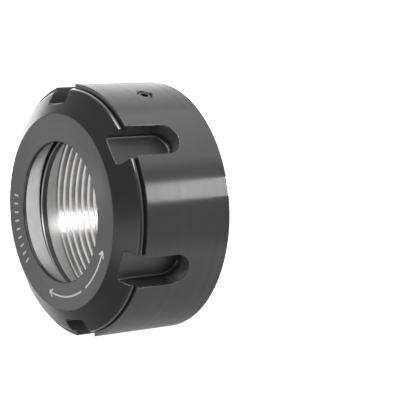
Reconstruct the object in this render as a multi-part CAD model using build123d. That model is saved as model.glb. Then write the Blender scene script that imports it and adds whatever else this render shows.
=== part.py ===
from build123d import *
from math import radians, sqrt, tan
import os

# Collet nut for a spindle or a collet chuck, in millimetres.
# The origin is the centre of the threaded back face, and +Z runs along the axis to the nose.
# The balance screw lies on +X, and the spanner slots are spaced evenly to both sides of it.

# Outside of the nut
body_diameter = 50.0
body_length = 23.0
back_chamfer = 0.15
shoulder_height = 19.1
shoulder_share_of_slot_depth = 0.342
nose_rim_width = 0.7
nose_face_diameter = 38.6

# Inside of the nut, from the nose to the back
opening_diameter = 27.6
opening_chamfer = 0.15
opening_land_depth = 0.7
taper_half_angle = 30.0
taper_large_diameter = 33.0
collet_groove_diameter = 34.6
collet_groove_width = 0.5
extractor_bore_diameter = 32.4
extractor_offset = 0.75
extractor_width = 1.5
extractor_chamfer = 0.2
relief_diameter = 40.5
relief_back_height = 11.3
thread_minor_diameter = 38.38
thread_major_diameter = 40.0
thread_chamfer_clearance = 0.3

# Spanner slots, milled from the nose with the cutter square to the axis
slot_count = 6
slot_width = 6.4
slot_floor_wall = 0.95
slot_end_height = 8.5
slot_floor_fillet = 0.5
slot_edge_chamfer = 0.12

# Balance screw and its blind tapped hole
screw_diameter = 3.0
screw_length = 3.0
screw_fit_gap = 0.03
screw_recess = 0.25
screw_height = 9.1
screw_end_chamfer = 0.25
screw_hole_mouth_diameter = 3.5
screw_hole_tip_angle = 118.0
hex_socket_across_flats = 1.5
hex_socket_depth = 1.2

# Worked out from the sizes above
body_radius = body_diameter / 2
opening_radius = opening_diameter / 2
taper_large_radius = taper_large_diameter / 2
extractor_bore_radius = extractor_bore_diameter / 2
relief_radius = relief_diameter / 2
slot_floor_radius = relief_radius + slot_floor_wall
slot_depth = body_radius - slot_floor_radius
nose_rim_radius = body_radius - shoulder_share_of_slot_depth * slot_depth
nose_rim_height = shoulder_height + nose_rim_width
thread_minor_radius = thread_minor_diameter / 2
thread_mouth_radius = thread_major_diameter / 2 + thread_chamfer_clearance
thread_mouth_depth = thread_mouth_radius - thread_minor_radius
taper_length = (taper_large_radius - opening_radius) / tan(radians(taper_half_angle))
taper_back_height = body_length - opening_land_depth - taper_length
extractor_front_height = taper_back_height - collet_groove_width
extractor_back_height = extractor_front_height - extractor_width
screw_radius = screw_diameter / 2
screw_top_radius = body_radius - screw_recess
screw_seat_radius = screw_top_radius - screw_length
cut_overrun = 1.0


def outside_profile():
    """Half section of the outside, from the axis at the back face to the axis at the nose."""
    return [
        (0, 0),
        (body_radius - back_chamfer, 0),
        (body_radius, back_chamfer),
        (body_radius, shoulder_height),
        (nose_rim_radius, shoulder_height),
        (nose_rim_radius, nose_rim_height),
        (nose_face_diameter / 2, body_length),
        (0, body_length),
    ]


def inside_profile():
    """Half section of the turned inside, with the extractor lip still solid to its smallest radius."""
    lip_inner_radius = extractor_bore_radius - extractor_offset
    relief_run_in = relief_radius - thread_minor_radius
    return [
        (0, -cut_overrun),
        (thread_mouth_radius + cut_overrun, -cut_overrun),
        (thread_minor_radius, thread_mouth_depth),
        (thread_minor_radius, relief_back_height - relief_run_in),
        (relief_radius, relief_back_height),
        (relief_radius, extractor_back_height),
        (lip_inner_radius, extractor_back_height),
        (lip_inner_radius, extractor_front_height),
        (collet_groove_diameter / 2, extractor_front_height),
        (collet_groove_diameter / 2, taper_back_height),
        (taper_large_radius, taper_back_height),
        (opening_radius, body_length - opening_land_depth),
        (opening_radius, body_length - opening_chamfer),
        (opening_radius + opening_chamfer + cut_overrun, body_length + cut_overrun),
        (0, body_length + cut_overrun),
    ]


def turned(points):
    """The solid that a half section makes when it is turned about the axis."""
    section = Plane.XZ * make_face(Polyline(*points, close=True))
    return revolve(section, Axis.Z)


def extractor_bore():
    """The off-centre bore of the extractor lip, with its two broken edges."""
    flare_radius = extractor_bore_radius + extractor_chamfer
    front = extractor_front_height
    back = extractor_back_height
    bore = turned([
        (0, back),
        (flare_radius, back),
        (extractor_bore_radius, back + extractor_chamfer),
        (extractor_bore_radius, front - extractor_chamfer),
        (flare_radius, front),
        (0, front),
    ])
    return Pos(-extractor_offset, 0, 0) * bore


def slot_cutter():
    """The space of one spanner slot, on +X: a round end, two straight walls and a flat floor."""
    run_out = body_length + slot_width
    floor_plane = Plane(origin=(slot_floor_radius, 0, 0), x_dir=(0, 0, 1), z_dir=(1, 0, 0))
    end_centre = slot_end_height + slot_width / 2
    outline = Pos(end_centre, 0) * Circle(slot_width / 2)
    outline += Pos((end_centre + run_out) / 2, 0) * Rectangle(run_out - end_centre, slot_width)
    cutter = extrude(floor_plane * outline, slot_depth + cut_overrun)
    floor_edges = cutter.faces().sort_by(Axis.X)[0].edges()
    return fillet(floor_edges, slot_floor_fillet)


def slot_rim_edges(body):
    """The edges where the slot walls come out through the outside, from the round end to the shoulder."""
    def is_rim(edge):
        point = edge.position_at(0.5)
        radius = sqrt(point.X ** 2 + point.Y ** 2)
        on_outside = abs(radius - body_radius) < 0.02
        return on_outside and slot_end_height - 0.1 < point.Z < shoulder_height - 0.1

    return [edge for edge in body.edges() if is_rim(edge)]


def on_hole_axis(part):
    """Turns a part that was made along +Z so that it points out along +X at the screw's height."""
    return Pos(0, 0, screw_height) * Rot(0, 90, 0) * part


def screw_hole():
    """The blind hole of the balance screw: a countersunk mouth, the tapped wall and the drill's tip."""
    mouth_radius = screw_hole_mouth_diameter / 2
    countersink = mouth_radius - screw_radius
    tip_length = screw_radius / tan(radians(screw_hole_tip_angle / 2))
    hole = turned([
        (0, screw_seat_radius - tip_length),
        (screw_radius, screw_seat_radius),
        (screw_radius, body_radius - countersink),
        (mouth_radius + cut_overrun, body_radius + cut_overrun),
        (0, body_radius + cut_overrun),
    ])
    return on_hole_axis(hole)


def make_nut_body():
    """The nut in one piece: turned blank, spanner slots, off-centre extractor lip and screw hole."""
    body = turned(outside_profile()) - turned(inside_profile()) - extractor_bore()
    slot_pitch = 360 / slot_count
    for index in range(slot_count):
        body -= Rot(0, 0, (index + 0.5) * slot_pitch) * slot_cutter()
    body = chamfer(slot_rim_edges(body), slot_edge_chamfer)
    return body - screw_hole()


def make_balance_screw():
    """The headless screw with a hexagon socket, a little under the surface of the nut."""
    shank_radius = screw_radius - screw_fit_gap
    end_radius = shank_radius - screw_end_chamfer
    shank = turned([
        (0, screw_seat_radius),
        (end_radius, screw_seat_radius),
        (shank_radius, screw_seat_radius + screw_end_chamfer),
        (shank_radius, screw_top_radius - screw_end_chamfer),
        (end_radius, screw_top_radius),
        (0, screw_top_radius),
    ])
    hexagon = RegularPolygon(hex_socket_across_flats / 2, 6, major_radius=False)
    socket = extrude(Pos(0, 0, screw_top_radius - hex_socket_depth) * hexagon, hex_socket_depth + cut_overrun)
    return on_hole_axis(shank - socket)


def main():
    os.makedirs("parts", exist_ok=True)
    export_step(make_nut_body(), "parts/nut_body.step")
    export_step(make_balance_screw(), "parts/balance_screw.step")


main()
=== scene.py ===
import math

import bpy
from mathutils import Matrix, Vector
from mathutils.geometry import intersect_point_line


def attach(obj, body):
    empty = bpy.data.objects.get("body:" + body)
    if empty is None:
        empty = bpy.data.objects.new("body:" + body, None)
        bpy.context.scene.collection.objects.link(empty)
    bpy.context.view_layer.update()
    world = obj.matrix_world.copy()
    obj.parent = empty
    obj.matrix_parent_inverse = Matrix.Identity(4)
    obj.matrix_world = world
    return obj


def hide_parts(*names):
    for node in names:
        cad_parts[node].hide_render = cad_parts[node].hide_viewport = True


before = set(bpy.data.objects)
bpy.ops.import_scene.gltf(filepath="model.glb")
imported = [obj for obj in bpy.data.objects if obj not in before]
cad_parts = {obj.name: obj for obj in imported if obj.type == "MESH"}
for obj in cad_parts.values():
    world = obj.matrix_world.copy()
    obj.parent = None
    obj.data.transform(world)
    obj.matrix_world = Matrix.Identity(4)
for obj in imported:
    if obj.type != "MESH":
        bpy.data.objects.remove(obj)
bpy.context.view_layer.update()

# Nut body, the turned blank.
# One piece of alloy steel, turned outside and bored from both ends, hardened and tempered.
# It stands on its threaded back face, with the nose up.
MM = 0.001
TURNED_POINTS = 348

body_radius = 25.0
body_length = 23.0
back_chamfer = 0.15
shoulder_height = 19.1
nose_rim_radius = 23.7004
nose_rim_height = 19.8
nose_rim_rounding = 0.6
nose_face_radius = 19.3
opening_radius = 13.8
opening_chamfer = 0.15
opening_land_back = 22.3
taper_back_radius = 16.5
taper_back_height = 17.6235
groove_radius = 17.3
lip_front_height = 17.1235
lip_back_height = 15.6235
lip_bore_radius = 16.2
lip_bore_shift = -0.75
lip_chamfer = 0.2
relief_radius = 20.25
relief_corner = 0.25
relief_back_height = 11.3
thread_minor_radius = 19.19
thread_major_radius = 20.0
thread_mouth_radius = 20.3

relief_run_in = relief_radius - thread_minor_radius
relief_corner_middle = 0.3 * relief_corner
thread_mouth_depth = thread_mouth_radius - thread_minor_radius
ring_weld = 0.0005


def round_off(before, corner, after, rounding, steps):
    """The arc that rounds a corner of a half section, from the side of one neighbour to the other's."""
    before, corner, after = Vector(before), Vector(corner), Vector(after)
    first = (before - corner).normalized()
    second = (after - corner).normalized()
    half_angle = first.angle(second) / 2
    centre = corner + (first + second).normalized() * rounding / math.sin(half_angle)
    start = corner + first * rounding / math.tan(half_angle) - centre
    end = corner + second * rounding / math.tan(half_angle) - centre
    return [centre + start.slerp(end, step / steps) for step in range(steps + 1)]


nose_rim_arc = round_off(
    (nose_face_radius, body_length), (nose_rim_radius, nose_rim_height),
    (nose_rim_radius, shoulder_height), nose_rim_rounding, steps=3)
outside_line = [
    Vector((nose_face_radius, body_length)),
    *nose_rim_arc,
    Vector((nose_rim_radius, shoulder_height)),
    Vector((body_radius, shoulder_height)),
    Vector((body_radius, back_chamfer)),
]

blank_rings = [(radius, height, 0) for radius, height in outside_line] + [
    (body_radius - back_chamfer, 0, 0),
    (thread_mouth_radius, 0, 0),
    (thread_minor_radius, thread_mouth_depth, 0),
    (thread_minor_radius, relief_back_height - relief_run_in, 0),
    (relief_radius, relief_back_height, 0),
    (relief_radius, lip_back_height - relief_corner, 0),
    (relief_radius - relief_corner_middle, lip_back_height - relief_corner_middle, 0),
    (relief_radius - relief_corner, lip_back_height, 0),
    (lip_bore_radius + lip_chamfer, lip_back_height, lip_bore_shift),
    (lip_bore_radius, lip_back_height + lip_chamfer, lip_bore_shift),
    (lip_bore_radius, lip_front_height - lip_chamfer, lip_bore_shift),
    (lip_bore_radius + lip_chamfer, lip_front_height, lip_bore_shift),
    (groove_radius, lip_front_height, 0),
    (groove_radius, taper_back_height, 0),
    (taper_back_radius, taper_back_height, 0),
    (opening_radius, opening_land_back, 0),
    (opening_radius, body_length - opening_chamfer, 0),
    (opening_radius + opening_chamfer, body_length, 0),
]


def start_piece(name):
    """Names the primitive that was just added, puts its place in its mesh and opens it for editing."""
    piece = bpy.context.object
    piece.name = name
    bpy.ops.object.transform_apply(location=True, rotation=True, scale=True)
    bpy.ops.object.mode_set(mode="EDIT")
    bpy.ops.mesh.select_all(action="SELECT")
    return piece


def turn_rings(name, rings, points):
    """Turns a closed half section: a circle of points is extruded from each corner to the next.

    A ring is a corner's radius, its height and the x of the ring's centre, in mm.
    """
    radius, height, centre = rings[0]
    bpy.ops.object.select_all(action="DESELECT")
    bpy.ops.mesh.primitive_circle_add(
        vertices=points, radius=radius * MM, fill_type="NOTHING", location=(centre * MM, 0, height * MM))
    piece = start_piece(name)
    for next_radius, next_height, next_centre in rings[1:] + rings[:1]:
        step = ((next_centre - centre) * MM, 0, (next_height - height) * MM)
        bpy.ops.mesh.extrude_region_move(TRANSFORM_OT_translate={"value": step})
        scale = next_radius / radius
        bpy.ops.transform.resize(
            value=(scale, scale, 1), center_override=(next_centre * MM, 0, next_height * MM))
        radius, height, centre = next_radius, next_height, next_centre
    bpy.ops.mesh.select_all(action="SELECT")
    bpy.ops.mesh.remove_doubles(threshold=ring_weld * MM)
    bpy.ops.mesh.normals_make_consistent(inside=False)
    bpy.ops.object.mode_set(mode="OBJECT")
    return piece


def activate(piece):
    bpy.ops.object.select_all(action="DESELECT")
    piece.select_set(True)
    bpy.context.view_layer.objects.active = piece


def cut_away(piece, cutter):
    """Takes the cutter's space out of the piece and throws the cutter away."""
    activate(piece)
    cut = piece.modifiers.new("cut", "BOOLEAN")
    cut.operation = "DIFFERENCE"
    cut.solver = "EXACT"
    cut.object = cutter
    bpy.ops.object.modifier_apply(modifier=cut.name)
    bpy.data.objects.remove(cutter)


body = turn_rings("collet_nut_body", blank_rings, TURNED_POINTS)

# Spanner slots of the nut body.
# Six slots for a hook spanner, milled from the nose with a 6.4 mm end mill square to the axis.
# Each has a flat floor with a small corner radius and a round end, and the rims lose their burr.
slot_count = 6
slot_half_width = 3.2
slot_floor_radius = 21.2
slot_end_centre = 11.7
slot_floor_fillet = 0.5
slot_run_out = 26.0
slot_cut_depth = 7.0
slot_cutter_points = 98
SAME_PLACE = 0.001


def slot_angle(index):
    return math.radians((index + 0.5) * 360 / slot_count)


bpy.ops.object.select_all(action="DESELECT")
bpy.ops.mesh.primitive_cylinder_add(
    vertices=slot_cutter_points, radius=slot_half_width * MM, depth=slot_cut_depth * MM,
    location=((slot_floor_radius + slot_cut_depth / 2) * MM, 0, slot_end_centre * MM),
    rotation=(0, math.pi / 2, 0))
slot_cutter = start_piece("slot_cutter")
bpy.ops.mesh.bisect(
    plane_co=(0, 0, slot_end_centre * MM), plane_no=(0, 0, 1), use_fill=True, clear_outer=True)
bpy.ops.mesh.extrude_region_move(
    TRANSFORM_OT_translate={"value": (0, 0, (slot_run_out - slot_end_centre) * MM)})
bpy.ops.mesh.select_all(action="SELECT")
bpy.ops.mesh.dissolve_limited(angle_limit=math.radians(0.1))
bpy.ops.mesh.normals_make_consistent(inside=False)
bpy.ops.mesh.select_mode(type="EDGE")
bpy.ops.mesh.select_all(action="DESELECT")
bpy.ops.object.mode_set(mode="OBJECT")


def select_edges(piece, lines_at):
    """Selects the edges whose two ends lie on one line. lines_at names the lines at a point in mm."""
    lines = [lines_at(*(value / MM for value in vertex.co)) for vertex in piece.data.vertices]
    for edge in piece.data.edges:
        first, second = edge.vertices
        edge.select = bool(lines[first] & lines[second])


def floor_lines(x, y, z):
    return {"floor"} if abs(x - slot_floor_radius) < SAME_PLACE else set()


select_edges(slot_cutter, floor_lines)
activate(slot_cutter)
bpy.ops.object.mode_set(mode="EDIT")
bpy.ops.mesh.bevel(offset=slot_floor_fillet * MM, segments=6, affect="EDGES")
bpy.ops.mesh.select_all(action="SELECT")
for index in range(slot_count):
    if index:
        bpy.ops.mesh.duplicate()
    turn = slot_angle(index) - (slot_angle(index - 1) if index else 0)
    bpy.ops.transform.rotate(value=-turn, orient_axis="Z", center_override=(0, 0, 0))
bpy.ops.object.mode_set(mode="OBJECT")
cut_away(body, slot_cutter)

# Thread of the nut body.
# M40 x 1.5, right-hand, cut with a single-point tool. It starts in the chamfered mouth at the back,
# and the tool runs out in the relief behind the extractor lip.
thread_pitch = 1.5
thread_flank_angle = 30
thread_cutter_inner_radius = 19.0
thread_start = -1.6
thread_turns = 9
thread_root_flat = thread_pitch / 8
thread_depth = thread_major_radius - thread_cutter_inner_radius
thread_middle_radius = (thread_major_radius + thread_cutter_inner_radius) / 2
thread_flank_rise = thread_depth * math.tan(math.radians(thread_flank_angle))

bpy.ops.object.select_all(action="DESELECT")
bpy.ops.mesh.primitive_plane_add(size=1)
thread_cutter = start_piece("thread_cutter")
bpy.ops.transform.rotate(value=math.pi / 2, orient_axis="X", center_override=(0, 0, 0))
bpy.ops.transform.resize(value=(thread_depth * MM, 1, thread_root_flat * MM), center_override=(0, 0, 0))
bpy.ops.transform.translate(value=(thread_middle_radius * MM, 0, thread_start * MM))
bpy.ops.object.mode_set(mode="OBJECT")
for vertex in thread_cutter.data.vertices:
    vertex.select = vertex.co.x < thread_middle_radius * MM
bpy.ops.object.mode_set(mode="EDIT")
bpy.ops.mesh.select_mode(type="VERT")
bpy.ops.transform.resize(
    value=(1, 1, (thread_root_flat + 2 * thread_flank_rise) / thread_root_flat),
    center_override=(0, 0, thread_start * MM))
bpy.ops.mesh.select_all(action="SELECT")
bpy.ops.transform.rotate(value=math.pi / TURNED_POINTS, orient_axis="Z", center_override=(0, 0, 0))
bpy.ops.mesh.delete(type="ONLY_FACE")
bpy.ops.object.mode_set(mode="OBJECT")
sweep = thread_cutter.modifiers.new("sweep", "SCREW")
sweep.axis = "Z"
sweep.angle = 2 * math.pi
sweep.screw_offset = thread_pitch * MM
sweep.iterations = thread_turns
sweep.steps = TURNED_POINTS
sweep.render_steps = TURNED_POINTS
sweep.use_merge_vertices = False
bpy.ops.object.modifier_apply(modifier=sweep.name)
bpy.ops.object.mode_set(mode="EDIT")
bpy.ops.mesh.select_mode(type="EDGE")
bpy.ops.mesh.select_all(action="DESELECT")
bpy.ops.mesh.select_non_manifold()
bpy.ops.mesh.fill_holes(sides=4)
bpy.ops.mesh.select_all(action="SELECT")
bpy.ops.mesh.normals_make_consistent(inside=False)
bpy.ops.object.mode_set(mode="OBJECT")
cut_away(body, thread_cutter)

# Balance screw's hole in the nut body.
# A blind M3 hole with a countersunk mouth, drilled and tapped in the rim where the lip is thickest.
screw_height = 9.1
screw_hole_radius = 1.5
screw_hole_mouth = 1.75
screw_hole_seat = 21.75
screw_hole_tip = 20.85
screw_hole_tip_radius = 0.02
screw_hole_overrun = 0.5
screw_hole_points = 64

screw_hole_rings = [
    (screw_hole_radius, screw_hole_seat),
    (screw_hole_radius, body_radius - screw_hole_mouth + screw_hole_radius),
    (screw_hole_mouth + screw_hole_overrun, body_radius + screw_hole_overrun),
]
bpy.ops.object.select_all(action="DESELECT")
radius, height = screw_hole_tip_radius, screw_hole_tip
bpy.ops.mesh.primitive_circle_add(
    vertices=screw_hole_points, radius=radius * MM, fill_type="NGON", location=(0, 0, height * MM))
hole_cutter = start_piece("screw_hole_cutter")
for next_radius, next_height in screw_hole_rings:
    bpy.ops.mesh.extrude_region_move(
        TRANSFORM_OT_translate={"value": (0, 0, (next_height - height) * MM)})
    scale = next_radius / radius
    bpy.ops.transform.resize(value=(scale, scale, 1), center_override=(0, 0, 0))
    radius, height = next_radius, next_height
bpy.ops.mesh.select_all(action="SELECT")
bpy.ops.mesh.normals_make_consistent(inside=False)
bpy.ops.transform.rotate(value=-math.pi / 2, orient_axis="Y", center_override=(0, 0, 0))
bpy.ops.transform.translate(value=(0, 0, screw_height * MM))
bpy.ops.object.mode_set(mode="OBJECT")
cut_away(body, hole_cutter)

# Edges of the nut body.
# Every sharp outside edge and slot rim is broken with a light stone, about a tenth of a millimetre.
edge_break = 0.12
cut_weld = 0.006
edge_weld = 0.001
EDGE_REACH = 0.004
END_SLACK = 0.01


def on_outside(radius, height):
    """Whether a point lies on the turned outside, from the back chamfer to the nose face."""
    point = Vector((radius, height))
    for first, second in zip(outside_line, outside_line[1:]):
        nearest, share = intersect_point_line(point, first, second)
        if -END_SLACK < share < 1 + END_SLACK and (point - nearest).length < EDGE_REACH:
            return True
    return False


def on_slot(depth, side, height):
    """Whether a point lies on a slot's floor, corner or wall. depth is out from the axis along the slot."""
    side = abs(side)
    if abs(depth - slot_floor_radius) < EDGE_REACH and side < slot_half_width:
        return True
    corner_depth = slot_floor_radius + slot_floor_fillet
    corner_side = slot_half_width - slot_floor_fillet
    if depth < corner_depth and side > corner_side:
        return abs(math.hypot(depth - corner_depth, side - corner_side) - slot_floor_fillet) < EDGE_REACH
    if height > slot_end_centre:
        return abs(side - slot_half_width) < EDGE_REACH
    return abs(math.hypot(side, height - slot_end_centre) - slot_half_width) < EDGE_REACH


def slot_place(x, y):
    """The slot nearest to a point, and the point's depth along it and distance to its side."""
    index = math.floor(math.atan2(y, x) / (2 * math.pi) * slot_count)
    turn = slot_angle(index)
    return index, x * math.cos(turn) + y * math.sin(turn), y * math.cos(turn) - x * math.sin(turn)


def sharp_lines(x, y, z):
    """Names the sharp lines of the body that pass through a point."""
    lines = set()
    radius = math.hypot(x, y)
    if not on_outside(radius, z):
        return lines
    for name, line_radius, line_height in (
            ("shoulder", body_radius, shoulder_height),
            ("nose_face", nose_face_radius, body_length)):
        if abs(radius - line_radius) < EDGE_REACH and abs(z - line_height) < EDGE_REACH:
            lines.add(name)
    index, depth, side = slot_place(x, y)
    if z > slot_end_centre - slot_half_width - EDGE_REACH and on_slot(depth, side, z):
        lines.add(index)
    return lines


finish_count = 8
BLACK, FACED, CONED, MILLED, RUBBED, TAPER, RELIEF, THREAD = range(finish_count)
activate(body)
for slot in range(finish_count):
    bpy.ops.object.material_slot_add()
bpy.ops.object.mode_set(mode="EDIT")
bpy.ops.mesh.select_mode(type="EDGE")
bpy.ops.mesh.select_all(action="SELECT")
bpy.ops.mesh.remove_doubles(threshold=cut_weld * MM)
bpy.ops.mesh.select_all(action="DESELECT")
bpy.ops.object.mode_set(mode="OBJECT")
select_edges(body, sharp_lines)
bpy.ops.object.mode_set(mode="EDIT")
bpy.ops.mesh.bevel(
    offset=edge_break * MM, segments=3, affect="EDGES", clamp_overlap=False, loop_slide=False,
    material=RUBBED)
bpy.ops.mesh.select_all(action="SELECT")
bpy.ops.mesh.remove_doubles(threshold=edge_weld * MM)
bpy.ops.mesh.delete_loose()
bpy.ops.object.mode_set(mode="OBJECT")
bpy.ops.object.select_all(action="DESELECT")

# Finishes of the nut body.
# Steel goes grey-black in the hot oxide bath and is then oiled: satin, a little cloudy, rubbed on its edges.
# The taper is ground and the bore is turned bright. Turning marks run round the axis, and draw each light
# out into a streak along it.
MICROMETRE = 0.000001
streak_strength = 0.35
mark_shift_with_height = 0.8


def add_node(tree, kind, values=(), **settings):
    """Adds a shader node with its settings and the values of its unlinked inputs."""
    node = tree.nodes.new(kind)
    for setting, value in settings.items():
        setattr(node, setting, value)
    for socket, value in dict(values).items():
        node.inputs[socket].default_value = value
    return node


def feed(tree, socket, source):
    """Gives an input its source, which is another node's output or a plain value."""
    if isinstance(source, bpy.types.NodeSocket):
        tree.links.new(source, socket)
    else:
        socket.default_value = source


def calculate(tree, operation, *operands):
    """A Math node. Operands are numbers or the outputs of other nodes."""
    node = add_node(tree, "ShaderNodeMath", operation=operation)
    for socket, operand in zip(node.inputs, operands):
        feed(tree, socket, operand)
    return node.outputs[0]


def blend_colours(tree, share, first, second):
    """Mixes two colours by a mask. A Mix node has them at its inputs 6 and 7, and the result at output 2."""
    node = add_node(tree, "ShaderNodeMix", data_type="RGBA")
    for socket, source in ((0, share), (6, first), (7, second)):
        feed(tree, node.inputs[socket], source)
    return node.outputs[2]


def blend_values(tree, share, first, second):
    """Mixes two numbers by a mask. A Mix node has them at its inputs 2 and 3."""
    node = add_node(tree, "ShaderNodeMix", data_type="FLOAT")
    for socket, source in ((0, share), (2, first), (3, second)):
        feed(tree, node.inputs[socket], source)
    return node.outputs[0]


def lay_over(tree, socket, mask, blend, source):
    """Where the mask is set, blends a source over what already feeds an input."""
    feed(tree, socket, blend(tree, mask, socket.links[0].from_socket, source))


def grey(value, warmth=0.0):
    return (value * (1 + warmth), value, value * (1 - warmth), 1)


def new_group(name, inputs, outputs):
    """An empty node group with a position input, named number inputs and named number outputs."""
    group = bpy.data.node_groups.new(name, "ShaderNodeTree")
    group.interface.new_socket(name="Position", in_out="INPUT", socket_type="NodeSocketVector")
    for socket in inputs:
        group.interface.new_socket(name=socket, in_out="INPUT", socket_type="NodeSocketFloat")
    for socket in outputs:
        group.interface.new_socket(name=socket, in_out="OUTPUT", socket_type="NodeSocketFloat")
    start = group.nodes.new("NodeGroupInput")
    end = group.nodes.new("NodeGroupOutput")
    return group, start, end


def use_group(tree, group, position, values):
    """Places a node group in a tree, with its own values."""
    node = add_node(tree, "ShaderNodeGroup", node_tree=group)
    tree.links.new(position, node.inputs["Position"])
    for socket, value in values.items():
        node.inputs[socket].default_value = value
    return node


def axis_place(tree, position):
    """The distance from the nut's axis, the angle round it and the height, as three outputs."""
    parts = add_node(tree, "ShaderNodeSeparateXYZ")
    tree.links.new(position, parts.inputs[0])
    x, y, z = parts.outputs
    across = calculate(tree, "SQRT", calculate(
        tree, "ADD", calculate(tree, "MULTIPLY", x, x), calculate(tree, "MULTIPLY", y, y)))
    return across, calculate(tree, "ARCTAN2", y, x), z


turning_marks, start, end = new_group("turning_marks", ["Pitch"], ["Height", "Streaks"])
across, _, height = axis_place(turning_marks, start.outputs["Position"])
along = calculate(turning_marks, "ADD", across, calculate(
    turning_marks, "MULTIPLY", height, mark_shift_with_height))
turns = calculate(turning_marks, "DIVIDE", along, start.outputs["Pitch"])
for socket, scale, detail in (("Height", 1.0, 2.0), ("Streaks", 0.12, 3.0)):
    noise = add_node(
        turning_marks, "ShaderNodeTexNoise", {"Scale": scale, "Detail": detail}, noise_dimensions="1D")
    turning_marks.links.new(turns, noise.inputs["W"])
    turning_marks.links.new(noise.outputs["Fac"], end.inputs[socket])

cloudiness, start, end = new_group("cloudiness", ["Size"], ["Clouds", "Specks"])
sized = add_node(cloudiness, "ShaderNodeVectorMath", operation="SCALE")
cloudiness.links.new(start.outputs["Position"], sized.inputs[0])
cloudiness.links.new(calculate(cloudiness, "DIVIDE", 1.0, start.outputs["Size"]), sized.inputs["Scale"])
for socket, scale, detail in (("Clouds", 1.0, 5.0), ("Specks", 14.0, 2.0)):
    noise = add_node(cloudiness, "ShaderNodeTexNoise", {"Scale": scale, "Detail": detail, "Roughness": 0.6})
    cloudiness.links.new(sized.outputs[0], noise.inputs["Vector"])
    cloudiness.links.new(noise.outputs["Fac"], end.inputs[socket])


def steel_finish(name, light, dark, roughness, spread, marks, unevenness, settings):
    """A steel surface: clouded colour and gloss, turning marks and a slight unevenness.

    spread is how far the roughness varies. marks is the pitch and depth of the turning marks, and
    unevenness is the size and depth of the low waves of the surface. Depths are in micrometres and the
    rest in metres.
    """
    material = bpy.data.materials.new(name)
    material.use_nodes = True
    tree = material.node_tree
    shader = tree.nodes["Principled BSDF"]
    for socket, value in settings.items():
        shader.inputs[socket].default_value = value
    position = add_node(tree, "ShaderNodeTexCoord").outputs["Object"]
    turned = use_group(tree, turning_marks, position, {"Pitch": marks[0]})
    patches = use_group(tree, cloudiness, position, {"Size": unevenness[0]})
    cloud_share = add_node(tree, "ShaderNodeMapRange", {"From Min": 0.3, "From Max": 0.7})
    tree.links.new(patches.outputs["Clouds"], cloud_share.inputs["Value"])
    colour = blend_colours(tree, cloud_share.outputs[0], dark, light)
    streaks = calculate(tree, "MULTIPLY", turned.outputs["Streaks"], streak_strength)
    colour = blend_colours(tree, streaks, colour, dark)
    feed(tree, shader.inputs["Base Color"], colour)
    gloss = calculate(tree, "MULTIPLY_ADD", turned.outputs["Streaks"], spread, roughness - spread)
    gloss = calculate(tree, "MULTIPLY_ADD", patches.outputs["Specks"], spread, gloss)
    feed(tree, shader.inputs["Roughness"], gloss)
    relief = calculate(tree, "MULTIPLY", turned.outputs["Height"], marks[1])
    relief = calculate(tree, "MULTIPLY_ADD", patches.outputs["Clouds"], unevenness[1], relief)
    bump = add_node(tree, "ShaderNodeBump", {"Strength": 1.0, "Distance": MICROMETRE})
    tree.links.new(relief, bump.inputs["Height"])
    tree.links.new(bump.outputs[0], shader.inputs["Normal"])
    grain = add_node(tree, "ShaderNodeTangent", direction_type="RADIAL", axis="Z")
    tree.links.new(grain.outputs[0], shader.inputs["Tangent"])
    return material


black_oxide = steel_finish(
    "black_oxide_on_turned_steel", light=grey(0.006), dark=grey(0.004), roughness=0.36, spread=0.08,
    marks=(0.00012, 0.6), unevenness=(0.0022, 7.0),
    settings={"IOR": 1.53, "Anisotropic": 1.0, "Anisotropic Rotation": 0.25})
faced_oxide = steel_finish(
    "black_oxide_on_faced_steel", light=grey(0.007), dark=grey(0.005), roughness=0.42, spread=0.05,
    marks=(0.00012, 0.4), unevenness=(0.0025, 1.0),
    settings={"IOR": 1.53, "Anisotropic": 0.5, "Anisotropic Rotation": 0.25})
coned_oxide = steel_finish(
    "black_oxide_on_coned_steel", light=grey(0.006), dark=grey(0.004), roughness=0.30, spread=0.05,
    marks=(0.00012, 0.4), unevenness=(0.0025, 1.0),
    settings={"IOR": 1.53, "Anisotropic": 0.2, "Anisotropic Rotation": 0.25})
milled_oxide = steel_finish(
    "black_oxide_on_milled_steel", light=grey(0.013), dark=grey(0.010), roughness=0.40, spread=0.06,
    marks=(0.00020, 0.6), unevenness=(0.0015, 2.0),
    settings={"IOR": 1.48})
rubbed_oxide = steel_finish(
    "black_oxide_rubbed_on_edges", light=grey(0.01), dark=grey(0.006), roughness=0.20, spread=0.06,
    marks=(0.00012, 0.2), unevenness=(0.0008, 1.0),
    settings={"IOR": 1.6})
ground_taper = steel_finish(
    "ground_taper_steel", light=grey(0.47, 0.01), dark=grey(0.39, 0.01), roughness=0.34, spread=0.05,
    marks=(0.00006, 0.4), unevenness=(0.003, 0.5),
    settings={"Metallic": 1.0, "Anisotropic": 0.6, "Anisotropic Rotation": 0.25})
turned_relief = steel_finish(
    "turned_relief_steel", light=grey(0.50, 0.01), dark=grey(0.41, 0.01), roughness=0.42, spread=0.05,
    marks=(0.00010, 0.5), unevenness=(0.002, 2.0),
    settings={"Metallic": 1.0, "Anisotropic": 1.0, "Anisotropic Rotation": 0.25})
cut_thread = steel_finish(
    "cut_thread_steel", light=grey(0.65, 0.01), dark=grey(0.54, 0.01), roughness=0.26, spread=0.05,
    marks=(0.00010, 0.4), unevenness=(0.002, 1.0),
    settings={"Metallic": 1.0, "Anisotropic": 0.8, "Anisotropic Rotation": 0.25})

# Painted light: the wall near the round end of each slot is painted a lighter, blotchy grey that stands in
# for light falling there.
slot_end_painted_light_grey = grey(0.14)
painted_light_starts_below = slot_end_centre
painted_light_full_below = slot_end_centre - 0.8 * slot_half_width
painted_light_starts_outside = slot_floor_radius + slot_floor_fillet
painted_light_full_outside = slot_floor_radius + 1.5
painted_light_blotch = 0.0012

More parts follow.
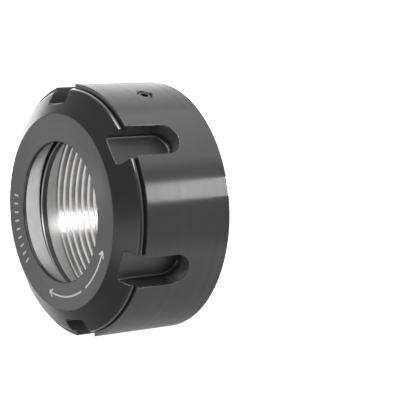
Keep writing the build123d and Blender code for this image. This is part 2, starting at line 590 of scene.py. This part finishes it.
milled_tree = milled_oxide.node_tree
milled_shader = milled_tree.nodes["Principled BSDF"]
position = add_node(milled_tree, "ShaderNodeTexCoord").outputs["Object"]
across, _, height = axis_place(milled_tree, position)
near_end = add_node(milled_tree, "ShaderNodeMapRange", {
    "From Min": painted_light_starts_below * MM, "From Max": painted_light_full_below * MM})
feed(milled_tree, near_end.inputs["Value"], height)
off_floor = add_node(milled_tree, "ShaderNodeMapRange", {
    "From Min": painted_light_starts_outside * MM, "From Max": painted_light_full_outside * MM})
feed(milled_tree, off_floor.inputs["Value"], across)
blotches = use_group(milled_tree, cloudiness, position, {"Size": painted_light_blotch})
# Painted light: lays a blotchy lighter grey over the slot wall, low on its round end and away from the
# floor.
slot_end_painted_light = calculate(milled_tree, "MULTIPLY", near_end.outputs[0], off_floor.outputs[0])
slot_end_painted_light = calculate(milled_tree, "MULTIPLY", slot_end_painted_light, blotches.outputs["Clouds"])
lay_over(milled_tree, milled_shader.inputs["Base Color"], slot_end_painted_light, blend_colours, slot_end_painted_light_grey)

finishes = (
    (BLACK, black_oxide), (FACED, faced_oxide), (CONED, coned_oxide), (MILLED, milled_oxide),
    (RUBBED, rubbed_oxide), (TAPER, ground_taper), (RELIEF, turned_relief), (THREAD, cut_thread))
for slot, material in finishes:
    body.material_slots[slot].material = material

lip_reach = 0.01
rubbed_least_radius = nose_rim_arc[0].x - 1


def outside_finish(radius, height):
    """The finish of a point on the turned outside. The shoulder is as dull as the milled slots."""
    if height > body_length - SAME_PLACE:
        return FACED
    if height > nose_rim_arc[0].y - SAME_PLACE:
        return CONED
    if height > nose_rim_arc[-1].y:
        return RUBBED
    return MILLED if height > shoulder_height - SAME_PLACE else BLACK


def inside_finish(x, y, height):
    """The finish of a point on the turned inside."""
    radius = math.hypot(x, y)
    lip_radius = math.hypot(x - lip_bore_shift, y)
    if height > body_length - opening_chamfer:
        return RUBBED
    if height > opening_land_back:
        return BLACK
    if height > taper_back_height:
        return TAPER
    if lip_back_height - lip_reach < height < lip_front_height + lip_reach:
        return TAPER if lip_bore_radius < lip_radius < lip_bore_radius + lip_chamfer else BLACK
    if lip_front_height < height:
        return BLACK
    return THREAD if height < relief_back_height and radius < thread_major_radius else RELIEF


def finish_at(face):
    """The finish of a face of the body, by its place. Broken edges well inside the rim aren't rubbed."""
    x, y, height = (value / MM for value in face.center)
    radius = math.hypot(x, y)
    depth, side = slot_place(x, y)[1:]
    if face.material_index == RUBBED:
        return FACED if radius < rubbed_least_radius else RUBBED
    if height > slot_end_centre - slot_half_width - EDGE_REACH and on_slot(depth, side, height):
        return MILLED
    if radius > slot_floor_radius or height > taper_back_height and radius > groove_radius:
        return outside_finish(radius, height)
    if height > body_length - SAME_PLACE:
        return FACED
    if height < SAME_PLACE:
        return BLACK
    return inside_finish(x, y, height)


for face in body.data.polygons:
    face.material_index = finish_at(face)

# Laser marks of the nut body.
# Two curved arrows near the opening show the ways to loosen and to tighten, and a row of short ticks
# stands about a quarter turn from them. The laser burns the oxide to a light, dull grey.
mark_grey = grey(0.36)
mark_roughness = 0.6
mark_radius = 16.6
mark_stroke = 0.34
mark_height = 1.5
barb_slope = 0.6
barb_half_width = 0.6 * mark_stroke
barb_length = mark_height / 2 / barb_slope
tighten_arrow = {"Tail": -129, "Tip": -171}
loosen_arrow = {"Tail": -123, "Tip": -88}
tick_row = {"First": 106, "Last": 156, "Pitch": 6}
tick_row_slack = 0.2


def all_masks(tree, *masks):
    product = masks[0]
    for mask in masks[1:]:
        product = calculate(tree, "MULTIPLY", product, mask)
    return product


laser_arrow, start, end = new_group("laser_arrow", ["Tail", "Tip"], ["Mask"])
across, angle, _ = axis_place(laser_arrow, start.outputs["Position"])
aside = calculate(laser_arrow, "ABSOLUTE", calculate(laser_arrow, "SUBTRACT", across, mark_radius * MM))
way = calculate(laser_arrow, "SUBTRACT", start.outputs["Tip"], start.outputs["Tail"])
behind = calculate(laser_arrow, "MULTIPLY", calculate(
    laser_arrow, "SUBTRACT", start.outputs["Tip"], angle), calculate(laser_arrow, "SIGN", way))
behind = calculate(laser_arrow, "MULTIPLY", behind, mark_radius * MM)
length = calculate(laser_arrow, "MULTIPLY", calculate(laser_arrow, "ABSOLUTE", way), mark_radius * MM)
ahead_of_tail = calculate(laser_arrow, "LESS_THAN", behind, length)
behind_tip = calculate(laser_arrow, "GREATER_THAN", behind, 0.0)
on_shaft = calculate(laser_arrow, "LESS_THAN", aside, mark_stroke / 2 * MM)
off_barb = calculate(laser_arrow, "ABSOLUTE", calculate(
    laser_arrow, "SUBTRACT", aside, calculate(laser_arrow, "MULTIPLY", behind, barb_slope)))
on_barb = calculate(laser_arrow, "LESS_THAN", off_barb, barb_half_width * MM)
near_tip = calculate(laser_arrow, "LESS_THAN", behind, barb_length * MM)
shaft = all_masks(laser_arrow, on_shaft, ahead_of_tail, behind_tip)
barbs = all_masks(laser_arrow, on_barb, near_tip, behind_tip)
laser_arrow.links.new(calculate(laser_arrow, "MAXIMUM", shaft, barbs), end.inputs["Mask"])

laser_ticks, start, end = new_group("laser_ticks", ["First", "Last", "Pitch"], ["Mask"])
across, angle, _ = axis_place(laser_ticks, start.outputs["Position"])
aside = calculate(laser_ticks, "ABSOLUTE", calculate(laser_ticks, "SUBTRACT", across, mark_radius * MM))
# Steps count from the first tick. From a tick to the middle between two it is half a step.
steps = calculate(laser_ticks, "DIVIDE", calculate(
    laser_ticks, "SUBTRACT", angle, start.outputs["First"]), start.outputs["Pitch"])
from_tick = calculate(laser_ticks, "PINGPONG", steps, 0.5)
from_tick = calculate(laser_ticks, "MULTIPLY", from_tick, calculate(
    laser_ticks, "MULTIPLY", start.outputs["Pitch"], mark_radius * MM))
ticks = all_masks(
    laser_ticks,
    calculate(laser_ticks, "LESS_THAN", from_tick, mark_stroke / 2 * MM),
    calculate(laser_ticks, "LESS_THAN", aside, mark_height / 2 * MM),
    calculate(laser_ticks, "GREATER_THAN", steps, -tick_row_slack),
    calculate(laser_ticks, "LESS_THAN", angle, start.outputs["Last"]))
laser_ticks.links.new(ticks, end.inputs["Mask"])

face_tree = faced_oxide.node_tree
face_shader = face_tree.nodes["Principled BSDF"]
position = add_node(face_tree, "ShaderNodeTexCoord").outputs["Object"]
mark_masks = [
    use_group(face_tree, group, position, {name: math.radians(value) for name, value in places.items()})
    for group, places in (
        (laser_arrow, tighten_arrow), (laser_arrow, loosen_arrow), (laser_ticks, tick_row))]
marked = 0.0
for mask in mark_masks:
    marked = calculate(face_tree, "MAXIMUM", marked, mask.outputs["Mask"])
lay_over(face_tree, face_shader.inputs["Base Color"], marked, blend_colours, mark_grey)
lay_over(face_tree, face_shader.inputs["Roughness"], marked, blend_values, mark_roughness)

smooth_angle = 33
activate(body)
bpy.ops.object.shade_smooth_by_angle(angle=math.radians(smooth_angle))
weighting = body.modifiers.new("weighting", "WEIGHTED_NORMAL")
weighting.keep_sharp = True
weighting.mode = "FACE_AREA"
bpy.ops.object.modifier_apply(modifier=weighting.name)
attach(body, "root")
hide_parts("nut_body")

# Balance screw.
# A headless M3 screw with a hexagon socket, blackened, screwed in a little under the surface.
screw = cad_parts["balance_screw"]
screw_black = steel_finish(
    "blackened_screw_steel", light=grey(0.005), dark=grey(0.003), roughness=0.5, spread=0.10,
    marks=(0.00012, 0.4), unevenness=(0.0006, 6.0),
    settings={"IOR": 1.4})
screw.data.materials.clear()
screw.data.materials.append(screw_black)

# Floor, light and camera.
# The floor is a lit white table, as for a catalogue picture. The nut's outside mirrors the table round it,
# so the table glows unevenly: it has a bright strip in front, and it is brightest behind the nut.
camera_side = -59.2
table_glow = (
    (-179, 1.0), (-117, 1.0), (-92, 1.3), (-48, 2.0), (-31, 1.25), (-8, 1.25), (10, 1.4), (30, 1.5),
    (47, 1.2), (80, 1.4), (101, 2.0), (133, 2.9), (150, 4.7), (179, 3.0))
table_glow_most = 5.0
table_strip_glow_each_mm = 0.31
table_strip_bearing = 10.25
table_strip_half_width = 8.5
table_strip_reach = 64.0
table_glow_under_bore = 1.25

bpy.ops.object.select_all(action="DESELECT")
bpy.ops.mesh.primitive_plane_add(size=3, location=(0, 0, 0))
floor = bpy.context.object
floor.name = "floor"
floor_white = bpy.data.materials.new("lit_white_table")
floor_white.use_nodes = True
table = floor_white.node_tree
floor_shader = table.nodes["Principled BSDF"]
floor_shader.inputs["Base Color"].default_value = grey(0.1)
floor_shader.inputs["Roughness"].default_value = 0.9

# Bearings on the table count from the camera's side. A round wall mirrors lines on the table as straight
# bands if they fan out from half its radius, so the bearings do that too.
turned_place = add_node(table, "ShaderNodeMapping", {"Rotation": (0, 0, math.radians(-camera_side))})
table.links.new(add_node(table, "ShaderNodeTexCoord").outputs["Object"], turned_place.inputs[0])
across, angle, _ = axis_place(table, turned_place.outputs[0])
fan = calculate(table, "SUBTRACT", 1.0, calculate(table, "DIVIDE", body_radius / 2 * MM, across))
bearing = calculate(table, "DIVIDE", angle, fan)
glow = add_node(table, "ShaderNodeValToRGB")
table.links.new(calculate(table, "MULTIPLY_ADD", bearing, 1 / (2 * math.pi), 0.5), glow.inputs[0])
stops = glow.color_ramp.elements
for stop_bearing, brightness in table_glow:
    stop = stops.new(stop_bearing / 360 + 0.5)
    stop.color = grey(brightness / table_glow_most)
stops.remove(stops[-1])
stops.remove(stops[0])

# The strip glows more with each millimetre from the axis, up to its reach.
off_strip = calculate(
    table, "ABSOLUTE", calculate(table, "SUBTRACT", bearing, math.radians(table_strip_bearing)))
strip_mm = all_masks(
    table,
    calculate(table, "LESS_THAN", off_strip, math.radians(table_strip_half_width)),
    calculate(table, "LESS_THAN", across, table_strip_reach * MM),
    calculate(table, "DIVIDE", across, MM))
brightness = calculate(
    table, "MULTIPLY_ADD", strip_mm, table_strip_glow_each_mm / table_glow_most, glow.outputs[0])
under_bore = calculate(table, "LESS_THAN", across, thread_minor_radius * MM)
brightness = blend_values(table, under_bore, brightness, table_glow_under_bore / table_glow_most)
table.links.new(brightness, floor_shader.inputs["Emission Color"])
floor_shader.inputs["Emission Strength"].default_value = table_glow_most
floor.data.materials.append(floor_white)

world = bpy.context.scene.world or bpy.data.worlds.new("studio")
bpy.context.scene.world = world
world.use_nodes = True
world.node_tree.nodes["Background"].inputs["Color"].default_value = grey(1.0)
world.node_tree.nodes["Background"].inputs["Strength"].default_value = 0.45


def softbox(name, azimuth, elevation, distance, width, height, power):
    """A rectangular area light that faces the origin. The camera doesn't see it."""
    light = bpy.data.lights.new(name, "AREA")
    light.shape = "RECTANGLE"
    light.size = width
    light.size_y = height
    light.energy = power
    lamp = bpy.data.objects.new(name, light)
    turn, rise = math.radians(azimuth), math.radians(elevation)
    lamp.location = (distance * math.cos(rise) * math.cos(turn),
                     distance * math.cos(rise) * math.sin(turn), distance * math.sin(rise))
    lamp.rotation_euler = (math.pi / 2 - rise, 0, turn + math.pi / 2)
    lamp.visible_camera = False
    bpy.context.collection.objects.link(lamp)
    return lamp


# A large box stands low on the balance screw's side, one behind the nut, and a dim one high up.
softbox("side_box", azimuth=-2, elevation=12, distance=1.0, width=0.95, height=0.36, power=15)
softbox("back_box", azimuth=126, elevation=42, distance=1.0, width=0.8, height=0.5, power=2.9)
softbox("top_box", azimuth=-118, elevation=64, distance=1.0, width=0.5, height=0.5, power=1.2)

# A small light over the near side of the opening shines level across it onto the thread.
bore_box = softbox(
    "bore_box", azimuth=-37.5, elevation=67, distance=0.0407, width=0.007, height=0.020, power=0.0095)
bore_box.rotation_euler.x = math.radians(80)

bpy.context.scene.view_settings.view_transform = "Standard"
camera = bpy.data.objects.new("camera", bpy.data.cameras.new("camera"))
camera.location = (0.130260, -0.220480, 0.177530)
camera.rotation_euler = (math.radians(-6.660), math.radians(53.010), math.radians(-67.360))
camera.data.lens = 131.66
camera.data.sensor_width = 36
camera.data.clip_start = 0.005
bpy.context.collection.objects.link(camera)
bpy.context.scene.camera = camera
